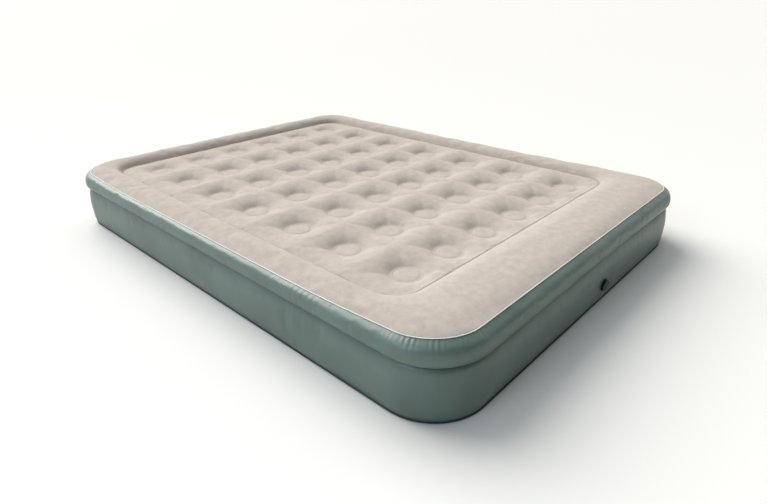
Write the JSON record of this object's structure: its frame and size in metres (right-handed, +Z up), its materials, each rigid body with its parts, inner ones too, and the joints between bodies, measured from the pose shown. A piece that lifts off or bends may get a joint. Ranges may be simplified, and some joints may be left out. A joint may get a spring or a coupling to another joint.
{
  "type": "air mattress",
  "caption": "Inflated camping air mattress with a raised flocked border, coil dimples, grooved PVC side walls and a plug valve in its foot wall.",
  "frame": {"origin": "on the ground, under the middle of the mattress", "axes": "+Z up, +Y along the length towards the head end, -Y the foot end with the valve, X across"},
  "size_m": [1.524, 2.0293, 0.2312],
  "materials": {
    "flocked_top": "fine velvet flock on PVC film",
    "seam_lip": "pale welded seam lip",
    "side_pvc": "satin calendered PVC film",
    "bottom_pvc": "dull embossed PVC film",
    "inner_film": "thin translucent film",
    "valve_patch_pvc": "satin film disc",
    "valve_black": "moulded, fine satin",
    "seal_rubber": "smooth rubber"
  },
  "bodies": {
    "base": {"bottom_sheet": "bottom_pvc", "bottom_hem": "bottom_pvc", "lower_side_wall": "side_pvc", "border_web": "inner_film", "coil_bottom_discs": "inner_film", "coil_row_1": "inner_film", "coil_row_2": "inner_film", "coil_row_3": "inner_film", "coil_row_4": "inner_film", "coil_row_5": "inner_film", "coil_row_6": "inner_film", "coil_row_7": "inner_film"},
    "top": {"top_border": "flocked_top", "top_field": "flocked_top", "top_piping": "seam_lip", "upper_side_band": "side_pvc", "coil_top_discs": "inner_film"},
    "waist": {"waist_weld": "side_pvc"},
    "valve_seat": {"valve_patch": "valve_patch_pvc", "valve_base": "valve_black", "base_seal": "seal_rubber"},
    "plug": {"valve_plug": "valve_black", "cap_strap": "valve_black"},
    "flap": {"check_flap": "seal_rubber"},
    "cap": {"valve_cap": "valve_black"}
  },
  "joints": [
    {"name": "deflate", "type": "slide", "parent": "base", "child": "top", "axis": [0, 0, -1], "range_m": [0, 0.136], "stiffness_N_per_m": 12000, "springref_m": -0.01, "deforming": ["lower_side_wall", "border_web", "coil_row_1", "coil_row_2", "coil_row_3", "coil_row_4", "coil_row_5", "coil_row_6", "coil_row_7", "upper_side_band"]},
    {"name": "waist_drop", "type": "slide", "parent": "base", "child": "waist", "axis": [0, 0, -1], "range_m": [0, 0.09484]},
    {"name": "valve_drop", "type": "slide", "parent": "base", "child": "valve_seat", "axis": [0, 0, -1], "range_m": [0, 0.03726], "deforming": ["valve_patch"]},
    {"name": "plug_pull", "type": "slide", "parent": "valve_seat", "child": "plug", "axis": [0, -1, 0], "range_m": [0, 0.024]},
    {"name": "cap_open", "type": "hinge", "parent": "plug", "child": "cap", "pos_m": [0.0925, -1.0164, 0.06], "axis": [0, 0, 1], "range_deg": [0, 150], "deforming": ["cap_strap"]},
    {"name": "flap_open", "type": "hinge", "parent": "plug", "child": "flap", "pos_m": [0.058, -0.9938, 0.06], "axis": [0, 0, 1], "range_deg": [0, 50], "stiffness_Nm_per_rad": 0.0005}
  ],
  "couplings": [
    {"joint": "waist_drop", "follows": "deflate", "ratio": 0.69369},
    {"joint": "valve_drop", "follows": "deflate", "ratio": 0.27027}
  ]
}
